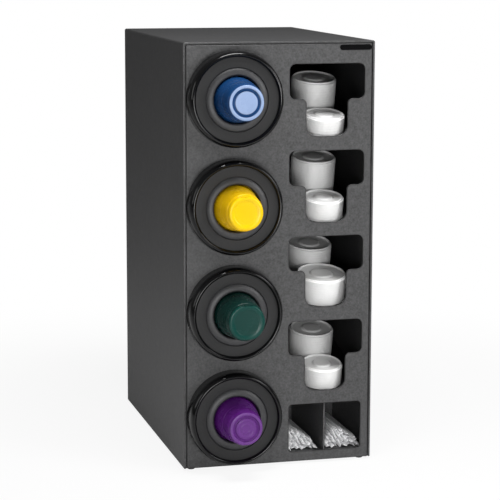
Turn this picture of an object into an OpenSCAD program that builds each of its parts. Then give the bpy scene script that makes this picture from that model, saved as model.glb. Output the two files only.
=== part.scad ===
// Countertop cup, lid and straw dispenser.
// A plastic cabinet: four sprung cup tubes on its left, four lid shelves over a straw bin on its right.
// Millimetres, +Z up, the front faces -Y. The origin is on the counter, under the whole object's middle.

/* [Cabinet] */
// Width of the cabinet over its side walls
body_w = 390; // [384:1:430]
// Height of the cabinet above its feet
body_h = 850; // [844:1:900]
// Depth of the cabinet from its front face to its back face
body_d = 595; // [575:1:660]
// Thickness of the wrapped shell
wall = 4; // [3:0.5:5]
// Radius of the shell's two long top edges
shell_r = 4; // [2:0.5:8]
// Thickness of the front and back panels
panel_t = 4; // [3:0.5:6]
// Shadow gap between the shell and the front panel
panel_gap = 1.8; // [1:0.1:2.4]
// Thickness of the base panel
base_t = 4; // [3:0.5:6]
// Thickness of the upright divider between the cups and the lids
divider_t = 3; // [2:0.5:5]
// Height of the rubber feet
foot_h = 5; // [3:0.5:12]
// Radius of the rubber feet
foot_r = 7.5; // [5:0.5:14]
// Distance of each foot's centre from the nearest walls' outer faces
foot_inset = 18; // [16:1:40]
// Side of the square cleats that the back panel is screwed to
cleat = 12; // [10:1:16]
// Shank radius of the back panel's screws
screw_r = 2; // [1.5:0.1:2.5]

/* [Cup dispensers] */
// Inner width of the cup bay, from the left wall to the divider
bay_w = 192; // [190:1:200]
// Height from one cup dispenser to the next
disp_pitch = 212; // [204:1:213]
// Outer radius of the glossy collar
collar_r = 94.5; // [93:0.5:95]
// How far the collar's crest stands off the front panel
collar_crest = 41; // [39:0.5:45]
// Radius of the collar's inner lip, where the face ring starts
collar_lip_r = 83; // [82:0.5:83.5]
// Height of the face ring's outer surface off the front panel
face_h = 35; // [33:0.5:36]
// Thickness of the face ring
face_t = 2.5; // [2:0.5:3]
// Radius of the hole in the face ring
face_hole_r = 62.5; // [62:0.5:64]
// Inner radius of the cup tube
tube_r = 62; // [60:0.5:63]
// Wall thickness of the cup tube
tube_t = 2.5; // [2:0.5:3]
// Length of the cup tube behind the front panel
tube_len = 530; // [500:1:540]
// Inner radius of the diaphragm's lip, which the cups slide through
lip_r = 47; // [47:0.1:48]
// Height of the back edge of the diaphragm's lip off the front panel
lip_h = 13.5; // [11:0.5:16]
// Width of the slots in the tube that the follower's arms run in
slot_w = 10; // [8:0.5:14]
// Radius of the pegs that the springs hook on
peg_r = 2.5; // [2:0.1:3]
// Outer radius of the follower's springs
spring_r = 3.5; // [2.5:0.1:4]
// Length of the follower's nose, which fills the last cup
nose_len = 60; // [40:1:80]

/* [Cups] */
// How far each front cup's base stands out of the front panel, from the top dispenser down
cup_proud = [107, 106, 115, 110]; // [100:1:125]
// Radius of each cup's base, from the top dispenser down
cup_base_r = [34.5, 34.1, 36.1, 33]; // [32:0.1:37]
// Radius of the cups just under their rims
cup_mouth_r = 46.3; // [45.5:0.1:46.5]
// Radius of the cups' rolled rims
cup_rim_r = 48.6; // [48.4:0.1:50]
// Wall thickness of the cups
cup_t = 0.8; // [0.6:0.1:0.9]
// Distance from one nested cup to the next
cup_pitch = 14; // [13.5:0.5:16]
// Number of cups nested behind each front cup
cup_count = 10; // [4:1:14]

/* [Lid compartments] */
// Slope of the lid shelves, down towards the front
shelf_slope = 13; // [8:1:14]
// Height from one lid opening to the next
lid_pitch = 172; // [170:1:174]
// Distance from the top of the cabinet to the top of the first lid opening
lid_top = 45; // [38:1:50]
// Width of each lid opening's upper part
open_w = 154; // [140:1:160]
// Height of each lid opening's upper part
open_upper_h = 69; // [60:1:80]
// Whole height of each lid opening
open_h = 143; // [138:1:146]
// Width of the finger slot under each lid opening
finger_w = 85; // [70:1:95]
// Corner radius of each lid opening's upper part
open_r = 12; // [6:1:16]
// Corner radius at the foot of the finger slot
finger_r = 22; // [10:1:28]
// Radius where the finger slot meets the upper part
throat_r = 10; // [4:1:12]
// How far the shelf's surface lies below the foot of the finger slot
sill = 6; // [4:0.5:8]
// Thickness of the shelves
shelf_t = 3; // [2:0.5:4]
// Width and height of the rails under the shelves
rail = [6, 8]; // [5:1:9]

/* [Lids] */
// Radius of the front stack's lids, from the top compartment down
lid_front_r = [41.3, 41.3, 51.3, 42.3]; // [40:0.1:52]
// Number of lids in the front stack, from the top compartment down
lid_front_n = [6, 7, 9, 7]; // [4:1:10]
// Radius of the rear stack's lids, from the top compartment down
lid_rear_r = [46, 46, 47, 46]; // [40:0.1:48]
// Number of lids in the rear stack, from the top compartment down
lid_rear_n = [15, 17, 14, 14]; // [8:1:17]
// Skirt height of one lid
lid_h = 9; // [8:0.5:12]
// Distance from one stacked lid to the next
lid_step = 5.5; // [5:0.1:6]
// Wall thickness of the lids
lid_t = 0.8; // [0.6:0.1:0.9]
// Distance of the lid stacks to the right of their openings' middle
lid_shift = 7; // [0:1:12]

/* [Straw bin] */
// Width of the straw opening
straw_open_w = 151; // [130:1:160]
// Height of the straw opening
straw_open_h = 98; // [80:1:100]
// Height of the straw opening's lower edge above the cabinet's underside
straw_sill = 20; // [16:1:22]
// Corner radius of the straw opening
straw_open_r = 7; // [3:1:12]
// Wall thickness of the straw bin
bin_t = 2.5; // [2:0.5:3]
// Depth of the straw bin behind the front panel
bin_d = 240; // [225:1:280]
// Radius of a wrapped straw
straw_r = 4.4; // [3.5:0.1:4.6]
// Length of a wrapped straw
straw_len = 212; // [190:1:215]

/* [Fits] */
// Gap left where one piece rests on or against another
seat_gap = 0.3; // [0.2:0.05:0.5]
// Radial running gap of the follower in its tube
run_gap = 0.6; // [0.3:0.1:1]
// Width of the glued joints between the front panel's plates
panel_joint = 0.2; // [0.1:0.05:0.3]
// Radial gap round a screw in its hole
screw_gap = 0.1; // [0.05:0.05:0.2]

/* [Hidden] */
$fn = 96;

charcoal = [0.15, 0.15, 0.16];
satin_black = [0.1, 0.1, 0.11];
gloss_black = [0.03, 0.03, 0.035];
rubber_black = [0.06, 0.06, 0.065];
steel = [0.7, 0.71, 0.72];
lid_white = [0.93, 0.93, 0.92];
straw_white = [0.95, 0.95, 0.96];
cup_colours = [[0.08, 0.28, 0.6], [0.95, 0.78, 0.03], [0.03, 0.27, 0.24], [0.36, 0.1, 0.5]];

rows = 4;
cut = 1; // how far a cutting shape runs past the face it cuts

// Cabinet frame: x from the middle, y from the front face backwards, z from the cabinet's underside
screw_rows = 4;
screw_head_r = 2.1 * screw_r;
screw_head_h = 1.1 * screw_r;
screw_len = panel_t + cleat - 2;
front_y = -(body_d + screw_head_h - max(cup_proud)) / 2;
inner_x = body_w / 2 - wall;
inner_top = body_h - wall;
back_in = body_d - panel_t;
divider_x = -inner_x + bay_w;
lane_x0 = divider_x + divider_t;
lane_w = inner_x - lane_x0;
lane_mid = lane_x0 + lane_w / 2;

// Cup dispensers, in heights off the front face, positive forwards
disp_x = -inner_x + bay_w / 2;
disp_drop = 1;         // how far the dispensers sit below the middle of the cabinet
disp_z0 = (inner_top - (rows - 1) * disp_pitch) / 2 - disp_drop;
tube_out = tube_r + tube_t;
panel_hole_r = tube_out + 1.5;
flange_t = 3;
ring_t = 2.4;          // thickness of the collar's shell
crest_r = collar_lip_r + 4.5;
collar_side_h = 24;    // height of the collar's straight side
collar_in_r = collar_r - ring_t;
rim_in = collar_lip_r + 1;  // flange rim that the collar turns on
rim_out = rim_in + 3;
rim_top = face_h - face_t - seat_gap;
tab_z = 6;             // underside of the bayonet tabs
tab_t = 2.6;
tab_out = rim_out + 3;
tab_span = 24;         // degrees
lug_span = 20;
bayonets = 3;
stop_gap = 1.5;        // degrees between a locked lug and its stop
stop_span = 3;
stop_in = 0.5;         // how far a stop stays inside the tabs' outer edge and above the flange's back
arch_mid = (face_hole_r + lip_r) / 2 + 1.5;
arch_t = 2.2;
arch_h = face_h - 9.5; // height of the arch's centre off the front face
arch_out = arch_mid - lip_r - 0.7;
arch_in = arch_out - arch_t;
pad_t = 2.2;           // diaphragm's clamped flange
lock_t = 8;
lock_out = tube_out + 13;
cap_t = 3;
cap_skirt = 15;
bracket_t = 4;
bracket_back = 28;     // distance of the bracket's back face from the tube's end
slot_front = 30;
slot_end = tube_len - 40;
post_h = -22;          // spring pegs on the tube
peg_out = tube_out + 11;
spring_at = tube_out + 7;
hook_r = peg_r + 1.1;
wire_r = 0.8;
bead_t = 3;
rim_h = lip_h - seat_gap;           // front face of the front cup's rim
mouth_h = rim_h - bead_t;
last_h = mouth_h - cup_count * cup_pitch;
disc_t = 5;
skirt_len = 22;
follower_r = tube_r - run_gap;
disc_h = last_h - seat_gap;
arm_h = disc_h - 16;
arm_len = 12;
arm_w = slot_w - 2;

// Lid compartments and straw bin
slope_tan = tan(shelf_slope);
shelf_y0 = panel_t;
shelf_end = back_in - cleat - 1;
shelf_drop = shelf_t / cos(shelf_slope);
shelf_lip = 14;
rail_drop = shelf_drop + seat_gap / cos(shelf_slope);
lid_taper = 2.2;
bin_floor = straw_sill - 4;
bin_top = straw_sill + straw_open_h + 4;
bin_back_h = 74;
cell_w = (lane_w - 2 * seat_gap - 3 * bin_t) / 2;
straw_gap = 0.3;
straw_step = 2 * straw_r + straw_gap;
straw_rows = [9, 8, 7, 5, 3];
plate_w = 66;
plate_h = 11;
plate_t = 1.2;

function disp_z(k) = disp_z0 + (rows - k) * disp_pitch;
function open_z(k) = body_h - lid_top - open_h - (k - 1) * lid_pitch;
function shelf_z(k, y) = open_z(k) - sill + (y - shelf_y0) * slope_tan;
function stack_h(n) = (n - 1) * lid_step + lid_h;

module cabinet_frame() {
    translate([0, front_y, foot_h]) children();
}

// Extrudes an outline drawn in x and z from depth y0 to depth y1
module along_depth(y0, y1) {
    translate([0, y1, 0]) rotate([90, 0, 0]) linear_extrude(y1 - y0) children();
}

// Extrudes an outline drawn in y and z from x0 to x1
module along_width(x0, x1) {
    translate([x0, 0, 0]) rotate([90, 0, 90]) linear_extrude(x1 - x0) children();
}

// Puts dispenser k's axis on the front face, with its own +Z pointing out of the cabinet
module on_axis(k) {
    cabinet_frame() translate([disp_x, 0, disp_z(k)]) rotate([90, 0, 0]) children();
}

// Rectangle with round corners, its lower left corner at the origin
module round_rect(w, h, r) {
    translate([r, 0]) square([w - 2 * r, h]);
    translate([0, r]) square([w, h - 2 * r]);
    for (x = [r, w - r], y = [r, h - r]) translate([x, y]) circle(r);
}

// Ring with an inner radius, an outer radius and two heights
module ring(r0, r1, h0, h1) {
    rotate_extrude() translate([r0, h0]) square([r1 - r0, h1 - h0]);
}

// Part of such a ring, from angle a0 over a span of degrees
module ring_arc(r0, r1, h0, h1, a0, span) {
    rotate([0, 0, a0]) rotate_extrude(angle = span) translate([r0, h0]) square([r1 - r0, h1 - h0]);
}

// Wrapped sheet that makes both sides and the top, rounded along its top edges
module shell() {
    color(charcoal) cabinet_frame() along_depth(0, body_d) difference() {
        union() {
            translate([-body_w / 2, 0]) square([body_w, body_h - shell_r]);
            translate([-body_w / 2 + shell_r, 0]) square([body_w - 2 * shell_r, body_h]);
            for (s = [-1, 1]) translate([s * (body_w / 2 - shell_r), body_h - shell_r]) circle(shell_r);
        }
        translate([-inner_x, -cut]) square([2 * inner_x, inner_top + cut]);
    }
}

// T-shaped outline: a wide upper part over a finger slot, standing on the origin
module lid_opening() {
    neck_h = open_h - open_upper_h;
    translate([-open_w / 2, neck_h]) round_rect(open_w, open_upper_h, open_r);
    translate([-finger_w / 2, finger_r]) square([finger_w, neck_h + open_r - finger_r]);
    translate([-finger_w / 2 + finger_r, 0]) square([finger_w - 2 * finger_r, finger_r + cut]);
    for (s = [-1, 1]) {
        translate([s * (finger_w / 2 - finger_r), finger_r]) circle(finger_r);
        difference() {
            translate([s * (finger_w + throat_r) / 2, neck_h - throat_r / 2 + cut / 2])
                square([throat_r, throat_r + cut], center = true);
            translate([s * (finger_w / 2 + throat_r), neck_h - throat_r]) circle(throat_r);
        }
    }
}

// One plate of the front panel, short of its outline by half a joint on every side
module panel_plate(x0, x1, z0, z1) {
    j = panel_joint;
    translate([x0 + j / 2, z0 + j / 2]) square([x1 - x0 - j, z1 - z0 - j]);
}

// Front panel: two plates round each cup hole, four round each lid opening and two round the straw opening.
// They meet in front of the divider, on the lane's middle, at the middle of each cup hole, halfway between
// the openings and beside the lid openings' upper parts.
module front_panel() {
    half_w = inner_x - panel_gap;
    top = inner_top - panel_gap;
    lane_edge = lane_x0 - divider_t / 2;
    cup_heights = concat([0], [for (k = [rows : -1 : 1], between = [false, true]) between
        ? (k > 1 ? disp_z(k) + disp_pitch / 2 : top)
        : disp_z(k)]);
    lid_heights = concat([0, (straw_sill + straw_open_h + open_z(rows)) / 2],
        [for (k = [rows : -1 : 1], between = [false, true]) between
            ? (k > 1 ? open_z(k) + (open_h + lid_pitch) / 2 : top)
            : open_z(k) + open_h - open_upper_h / 2]);
    color(charcoal) cabinet_frame() along_depth(0, panel_t) difference() {
        union() {
            for (i = [0 : 2 * rows - 1]) panel_plate(-half_w, lane_edge, cup_heights[i], cup_heights[i + 1]);
            for (i = [0 : 2 * rows]) {
                panel_plate(lane_edge, lane_mid, lid_heights[i], lid_heights[i + 1]);
                panel_plate(lane_mid, half_w, lid_heights[i], lid_heights[i + 1]);
            }
        }
        for (k = [1 : rows]) {
            translate([disp_x, disp_z(k)]) circle(panel_hole_r);
            translate([lane_mid, open_z(k)]) lid_opening();
        }
        translate([lane_mid - straw_open_w / 2, straw_sill])
            round_rect(straw_open_w, straw_open_h, straw_open_r);
    }
}

// Places something at every screw of the back panel, in x and z
module at_back_screws() {
    screw_z0 = 60;
    rise = (inner_top - 2 * screw_z0) / (screw_rows - 1);
    for (s = [-1, 1], i = [0 : screw_rows - 1])
        translate([s * (inner_x - cleat / 2), screw_z0 + i * rise]) children();
}

module back_panel() {
    color(charcoal) cabinet_frame() along_depth(back_in, body_d) difference() {
        translate([-inner_x, 0]) square([2 * inner_x, inner_top]);
        at_back_screws() circle(screw_r + screw_gap);
    }
}

// Two upright bars on the side walls that the back panel is screwed to
module back_cleats() {
    color(charcoal) cabinet_frame() along_depth(back_in - cleat, back_in) difference() {
        for (x = [-inner_x, inner_x - cleat]) translate([x, base_t]) square([cleat, inner_top - base_t]);
        at_back_screws() circle(screw_r + screw_gap);
    }
}

// Bars that the front panel is fixed to: one on the left wall and two under the top
module front_cleats() {
    color(charcoal) cabinet_frame() along_depth(panel_t, panel_t + cleat) {
        translate([-inner_x, base_t]) square([cleat, inner_top - base_t]);
        translate([-inner_x + cleat, inner_top - cleat]) square([bay_w - cleat, cleat]);
        translate([lane_x0, inner_top - cleat]) square([lane_w, cleat]);
    }
}

// Pan-head screws, heads on the back panel's outer face
module back_screws() {
    color(steel) cabinet_frame() translate([0, body_d, 0]) rotate([90, 0, 0]) at_back_screws() {
        translate([0, 0, seat_gap]) cylinder(r = screw_r, h = screw_len - seat_gap);
        rotate_extrude() polygon([
            [0, -screw_head_h], [0.55 * screw_head_r, -screw_head_h],
            [0.9 * screw_head_r, -0.6 * screw_head_h], [screw_head_r, -0.2 * screw_head_h],
            [screw_head_r, 0], [screw_r, 0], [screw_r, 2 * seat_gap], [0, 2 * seat_gap]
        ]);
    }
}

module base_panel() {
    color(charcoal) cabinet_frame()
        translate([-inner_x, panel_t, 0]) cube([2 * inner_x, back_in - panel_t, base_t]);
}

module divider() {
    color(charcoal) cabinet_frame()
        translate([divider_x, panel_t, base_t]) cube([divider_t, back_in - panel_t, inner_top - base_t]);
}

// Four rubber feet under the base panel's corners
module feet() {
    color(rubber_black) for (x = [-1, 1], y = [foot_inset, body_d - foot_inset])
        translate([x * (body_w / 2 - foot_inset), front_y + y, 0]) rotate_extrude() polygon([
            [0, 0], [foot_r - 1, 0], [foot_r, 1], [foot_r, foot_h], [0, foot_h]
        ]);
}

// Blank plate in the panel's upper right corner
module nameplate() {
    left = inner_x - panel_gap - 1 - plate_w;
    bottom = body_h - lid_top / 2 + 4;
    color(gloss_black) cabinet_frame() along_depth(-plate_t, 0)
        translate([left, bottom]) round_rect(plate_w, plate_h, plate_h / 2 - 0.1);
}

// Upright plate near the back that carries the tubes' rear ends
module tube_bracket() {
    y1 = tube_len - bracket_back;
    color(charcoal) cabinet_frame() along_depth(y1 - bracket_t, y1) difference() {
        translate([-inner_x, base_t]) square([bay_w, inner_top - base_t]);
        for (k = [1 : rows]) translate([disp_x, disp_z(k)]) circle(tube_out + seat_gap);
    }
}

// Rings on the tubes that clamp them to the panel from behind, with grip notches round them
module lock_rings() {
    notches = 8;
    color(satin_black) for (k = [1 : rows]) on_axis(k) difference() {
        ring(tube_out + seat_gap, lock_out, -panel_t - lock_t, -panel_t);
        for (i = [0 : notches - 1]) rotate([0, 0, i * 360 / notches + 180 / notches])
            translate([lock_out + 2, 0, -panel_t - lock_t - cut]) cylinder(r = 6, h = lock_t + 2 * cut);
    }
}

// Outline of the collar's glossy shell: straight side, a quarter ellipse to the crest and one to the lip
module collar_outline() {
    steps = 10;
    outer_a = collar_r - crest_r;
    outer_b = collar_crest - collar_side_h;
    inner_a = crest_r - collar_lip_r;
    inner_b = collar_crest - face_h;
    polygon(concat(
        [[collar_r, seat_gap]],
        [for (i = [0 : steps]) let (a = 90 * i / steps)
            [crest_r + outer_a * cos(a), collar_side_h + outer_b * sin(a)]],
        [for (i = [1 : steps]) let (a = 90 * i / steps)
            [crest_r - inner_a * sin(a), face_h + inner_b * cos(a)]],
        [for (i = [0 : steps]) let (a = 90 - 90 * i / steps)
            [crest_r - (inner_a - ring_t) * sin(a), face_h + (inner_b - ring_t) * cos(a)]],
        [for (i = [1 : steps]) let (a = 90 - 90 * i / steps)
            [crest_r + (outer_a - ring_t) * cos(a), collar_side_h + (outer_b - ring_t) * sin(a)]],
        [[collar_in_r, seat_gap]]
    ));
}

// Glossy collar ring with three bayonet lugs inside, which lock under the tube flange's tabs
module collar(k) {
    color(gloss_black) on_axis(k) {
        rotate_extrude() collar_outline();
        for (i = [0 : bayonets - 1])
            ring_arc(rim_out + 0.4, collar_in_r + 0.2, flange_t + 0.4, tab_z - 0.4,
                i * 360 / bayonets - lug_span / 2, lug_span);
    }
}

// Satin face ring inside the collar's lip, with a rounded hole
module face_ring(k) {
    edge = face_t / 3;
    out_r = collar_lip_r + 2.2;
    color(satin_black) on_axis(k) rotate_extrude() polygon([
        [face_hole_r + edge, face_h], [out_r, face_h], [out_r, face_h - face_t],
        [face_hole_r + edge, face_h - face_t], [face_hole_r, face_h - face_t + edge],
        [face_hole_r, face_h - edge]
    ]);
}

// Rubber diaphragm: a flange clamped on the tube's flange, a round arch and a lip that holds the cup's rim
module diaphragm(k) {
    steps = 16;
    pad_out = rim_in - 0.5;
    color(rubber_black) on_axis(k) rotate_extrude() polygon(concat(
        [[pad_out, flange_t], [pad_out, flange_t + pad_t], [arch_mid + arch_out, flange_t + pad_t]],
        [for (i = [0 : steps]) let (a = 180 * i / steps)
            [arch_mid + arch_out * cos(a), arch_h + pad_t / 2 + arch_out * sin(a)]],
        [[lip_r, lip_h], [lip_r + arch_t, lip_h]],
        [for (i = [0 : steps]) let (a = 180 - 180 * i / steps)
            [arch_mid + arch_in * cos(a), arch_h + arch_in * sin(a)]],
        [[arch_mid + arch_in, flange_t]]
    ));
}

// Tube with its front flange, bayonet rim, follower slots and spring pegs
module tube(k) {
    color(satin_black) on_axis(k) {
        difference() {
            rotate([0, 0, 180 / bayonets]) rotate_extrude() polygon([
                [tube_r, -tube_len], [tube_out, -tube_len], [tube_out, 0], [rim_out, 0], [rim_out, rim_top],
                [rim_in, rim_top], [rim_in, flange_t], [tube_r, flange_t]
            ]);
            translate([-tube_out - cut, -slot_w / 2, -slot_end])
                cube([2 * tube_out + 2 * cut, slot_w, slot_end - slot_front]);
        }
        for (i = [0 : bayonets - 1]) {
            a = i * 360 / bayonets;
            ring_arc(rim_out - cut, tab_out, tab_z, tab_z + tab_t, a - tab_span / 2, tab_span);
            ring_arc(rim_out - cut, tab_out - stop_in, stop_in, tab_z + tab_t / 2,
                a - lug_span / 2 - stop_gap - stop_span, stop_span);
        }
        for (s = [0, 180]) rotate([0, 0, s]) translate([tube_out - cut, 0, post_h])
            rotate([0, 90, 0]) cylinder(r = peg_r, h = peg_out - tube_out + cut);
    }
}

module end_cap(k) {
    cap_in = tube_out + seat_gap;
    color(satin_black) on_axis(k) rotate_extrude() polygon([
        [0, -tube_len - seat_gap], [cap_in, -tube_len - seat_gap], [cap_in, -tube_len + cap_skirt],
        [cap_in + 2.5, -tube_len + cap_skirt], [cap_in + 2.5, -tube_len - cap_t + 1],
        [cap_in + 1.5, -tube_len - cap_t - seat_gap], [0, -tube_len - cap_t - seat_gap]
    ]);
}

// Follower: a hollow nose in the last cup, a disc behind its rim, a skirt and two arms through the slots
module follower(k) {
    nose_r = cup_mouth_r - 3.3;
    tip_r = nose_r - 0.12 * nose_len;
    shell_t = 2.4;
    color(satin_black) on_axis(k) {
        rotate_extrude() polygon([
            [0, disc_h + nose_len], [tip_r - 3, disc_h + nose_len], [tip_r, disc_h + nose_len - 3],
            [nose_r, disc_h], [follower_r, disc_h], [follower_r, disc_h - disc_t - skirt_len],
            [follower_r - shell_t, disc_h - disc_t - skirt_len], [follower_r - shell_t, disc_h - disc_t],
            [nose_r - shell_t, disc_h - disc_t], [tip_r - shell_t, disc_h + nose_len - 3 - shell_t],
            [0, disc_h + nose_len - 3 - shell_t]
        ]);
        for (s = [0, 180]) rotate([0, 0, s]) {
            translate([follower_r - shell_t, -arm_w / 2, arm_h - arm_len / 2])
                cube([tube_out + 3 - follower_r + shell_t, arm_w, arm_len]);
            translate([tube_out, 0, arm_h]) rotate([0, 90, 0]) cylinder(r = peg_r, h = peg_out - tube_out);
        }
    }
}

// Two extension springs beside the tube, hooked over its pegs and the follower's
module springs(k) {
    coil_end = hook_r + 5;
    color(steel) on_axis(k) for (s = [0, 180]) rotate([0, 0, s]) translate([spring_at, 0, 0]) {
        translate([0, 0, arm_h + coil_end]) cylinder(r = spring_r, h = post_h - arm_h - 2 * coil_end);
        for (z = [post_h, arm_h]) translate([0, 0, z]) rotate([0, 90, 0])
            rotate_extrude() translate([hook_r + wire_r / 4, 0]) circle(wire_r, $fn = 24);
        translate([0, 0, arm_h + hook_r]) cylinder(r = wire_r, h = coil_end - hook_r + cut);
        translate([0, 0, post_h - coil_end - cut]) cylinder(r = wire_r, h = coil_end - hook_r + cut);
    }
}

// One cup: a ring foot round a recessed groove, a stacking shoulder and a rolled rim, base at height p
module cup_solid(p, b) {
    shoulder_h = 20;
    shoulder = 0.8;
    slope = (cup_mouth_r - shoulder - b) / (p - rim_h);
    shoulder_r = b + slope * shoulder_h;
    rotate_extrude() polygon([
        [0, p - 0.6], [0.66 * b, p - 0.6], [0.69 * b, p - 3], [0.78 * b, p - 3], [0.81 * b, p],
        [b - 1, p], [b, p - 1], [shoulder_r, p - shoulder_h], [shoulder_r + shoulder, p - shoulder_h - 1.5],
        [cup_mouth_r, rim_h], [cup_rim_r - 0.8, rim_h], [cup_rim_r, rim_h - 0.8],
        [cup_rim_r, mouth_h + 0.8], [cup_rim_r - 0.8, mouth_h], [cup_mouth_r - cup_t, mouth_h],
        [shoulder_r + shoulder - cup_t, p - shoulder_h - 1.5], [shoulder_r - cup_t, p - shoulder_h],
        [b - cup_t, p - 3.9], [0, p - 3.9]
    ]);
}

module cup(k) {
    color(cup_colours[k - 1]) on_axis(k) cup_solid(cup_proud[k - 1], cup_base_r[k - 1]);
}

// Cups nested behind the front one
module cup_stack(k) {
    color(cup_colours[k - 1]) on_axis(k) for (i = [1 : cup_count])
        translate([0, 0, -i * cup_pitch]) cup_solid(cup_proud[k - 1], cup_base_r[k - 1]);
}

// Sloping shelf, with a lip turned down behind the front panel
module lid_shelf(k) {
    z0 = shelf_z(k, shelf_y0);
    z1 = shelf_z(k, shelf_end);
    color(charcoal) cabinet_frame() along_width(lane_x0 + seat_gap, inner_x - seat_gap) polygon([
        [shelf_y0, z0], [shelf_end, z1], [shelf_end, z1 - shelf_drop],
        [shelf_y0 + shelf_t, z0 + shelf_t * slope_tan - shelf_drop],
        [shelf_y0 + shelf_t, z0 - shelf_lip], [shelf_y0, z0 - shelf_lip]
    ]);
}

// Rails on the divider and the right wall, one under each side of each shelf
module shelf_rails() {
    y0 = shelf_y0 + shelf_t + 2;
    color(charcoal) cabinet_frame() for (k = [1 : rows], x = [lane_x0, inner_x - rail[0]]) {
        z0 = shelf_z(k, y0) - rail_drop;
        z1 = shelf_z(k, shelf_end) - rail_drop;
        along_width(x, x + rail[0])
            polygon([[y0, z0], [shelf_end, z1], [shelf_end, z1 - rail[1]], [y0, z0 - rail[1]]]);
    }
}

// One lid: a tapered skirt, a rim, a sunken floor and a raised middle
module lid_solid(r) {
    top_r = r - lid_taper;
    floor_h = lid_h - 2.5;
    mid_h = lid_h - 0.3;
    rotate_extrude() polygon([
        [r, 0], [top_r, lid_h - 0.6], [top_r - 0.6, lid_h], [top_r - 2, lid_h], [top_r - 3, floor_h],
        [0.52 * r, floor_h], [0.47 * r, mid_h], [0, mid_h],
        [0, mid_h - lid_t], [0.47 * r - 0.6, mid_h - lid_t], [0.52 * r - 0.6, floor_h - lid_t],
        [top_r - 2.6, floor_h - lid_t], [top_r - 1.5, lid_h - lid_t - 0.6],
        [top_r - lid_t - 0.1, lid_h - lid_t - 0.6], [r - lid_t, 0]
    ]);
}

// A stack of n lids of radius r that stands square on shelf k, its foot's centre at depth y
module lid_stack(k, r, n, y) {
    translate([lane_mid + lid_shift, y, shelf_z(k, y)]) rotate([shelf_slope, 0, 0])
        for (i = [0 : n - 1]) translate([0, 0, seat_gap + i * lid_step]) lid_solid(r);
}

// Front stack leaning on the front panel, rear stack against it
module lids(k) {
    r0 = lid_front_r[k - 1];
    r1 = lid_rear_r[k - 1];
    n0 = lid_front_n[k - 1];
    foot_y = shelf_y0 + 0.6 + r0 * cos(shelf_slope) + (stack_h(n0) + seat_gap) * sin(shelf_slope);
    color(lid_white) cabinet_frame() {
        lid_stack(k, r0, n0, foot_y);
        lid_stack(k, r1, lid_rear_n[k - 1], foot_y + (r0 + r1 + 0.6) * cos(shelf_slope));
    }
}

// Open straw tray with a middle wall, its side walls standing on the base panel
module straw_bin() {
    half = lane_w / 2 - seat_gap;
    y0 = panel_t + seat_gap;
    color(charcoal) cabinet_frame() translate([lane_mid, 0, 0]) {
        along_depth(y0, panel_t + bin_d) {
            translate([-half, bin_floor - bin_t]) square([2 * half, bin_t]);
            for (x = [-half, -bin_t / 2, half - bin_t])
                translate([x, base_t]) square([bin_t, bin_top - base_t]);
        }
        along_depth(panel_t + bin_d - bin_t, panel_t + bin_d)
            translate([-half, base_t]) square([2 * half, bin_back_h]);
    }
}

// Wrapped straws heaped against the left wall of each half of the bin, every other one pushed back a little
module straws() {
    half = lane_w / 2 - seat_gap;
    row_rise = straw_step * sin(60);
    color(straw_white) cabinet_frame()
        for (x0 = [lane_mid - half + bin_t, lane_mid + bin_t / 2], j = [0 : len(straw_rows) - 1])
            for (i = [0 : straw_rows[j] - 1])
                translate([
                    x0 + straw_gap + straw_r + (i + j / 2) * straw_step,
                    panel_t + bin_d - bin_t - straw_gap - 5 * ((i + 2 * j) % 3),
                    bin_floor + straw_gap + straw_r + j * row_rise
                ]) rotate([90, 0, 0]) cylinder(r = straw_r, h = straw_len, $fn = 24);
}

shell();
front_panel();
back_panel();
base_panel();
divider();
tube_bracket();
front_cleats();
back_cleats();
back_screws();
feet();
nameplate();
lock_rings();
shelf_rails();
straw_bin();
straws();
lid_shelf(1);  // lid_shelf_1
lid_shelf(2);  // lid_shelf_2
lid_shelf(3);  // lid_shelf_3
lid_shelf(4);  // lid_shelf_4
lids(1);  // lids_1
lids(2);  // lids_2
lids(3);  // lids_3
lids(4);  // lids_4
collar(1);  // collar_1
collar(2);  // collar_2
collar(3);  // collar_3
collar(4);  // collar_4
face_ring(1);  // face_ring_1
face_ring(2);  // face_ring_2
face_ring(3);  // face_ring_3
face_ring(4);  // face_ring_4
diaphragm(1);  // diaphragm_1
diaphragm(2);  // diaphragm_2
diaphragm(3);  // diaphragm_3
diaphragm(4);  // diaphragm_4
tube(1);  // tube_1
tube(2);  // tube_2
tube(3);  // tube_3
tube(4);  // tube_4
end_cap(1);  // end_cap_1
end_cap(2);  // end_cap_2
end_cap(3);  // end_cap_3
end_cap(4);  // end_cap_4
follower(1);  // follower_1
follower(2);  // follower_2
follower(3);  // follower_3
follower(4);  // follower_4
springs(1);  // springs_1
springs(2);  // springs_2
springs(3);  // springs_3
springs(4);  // springs_4
cup_stack(1);  // cup_stack_1
cup_stack(2);  // cup_stack_2
cup_stack(3);  // cup_stack_3
cup_stack(4);  // cup_stack_4
cup(1);  // cup_1
cup(2);  // cup_2
cup(3);  // cup_3
cup(4);  // cup_4
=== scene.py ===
import math

import bmesh
import bpy
import numpy as np
from mathutils import Matrix, Vector
from mathutils.geometry import tessellate_polygon


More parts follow.
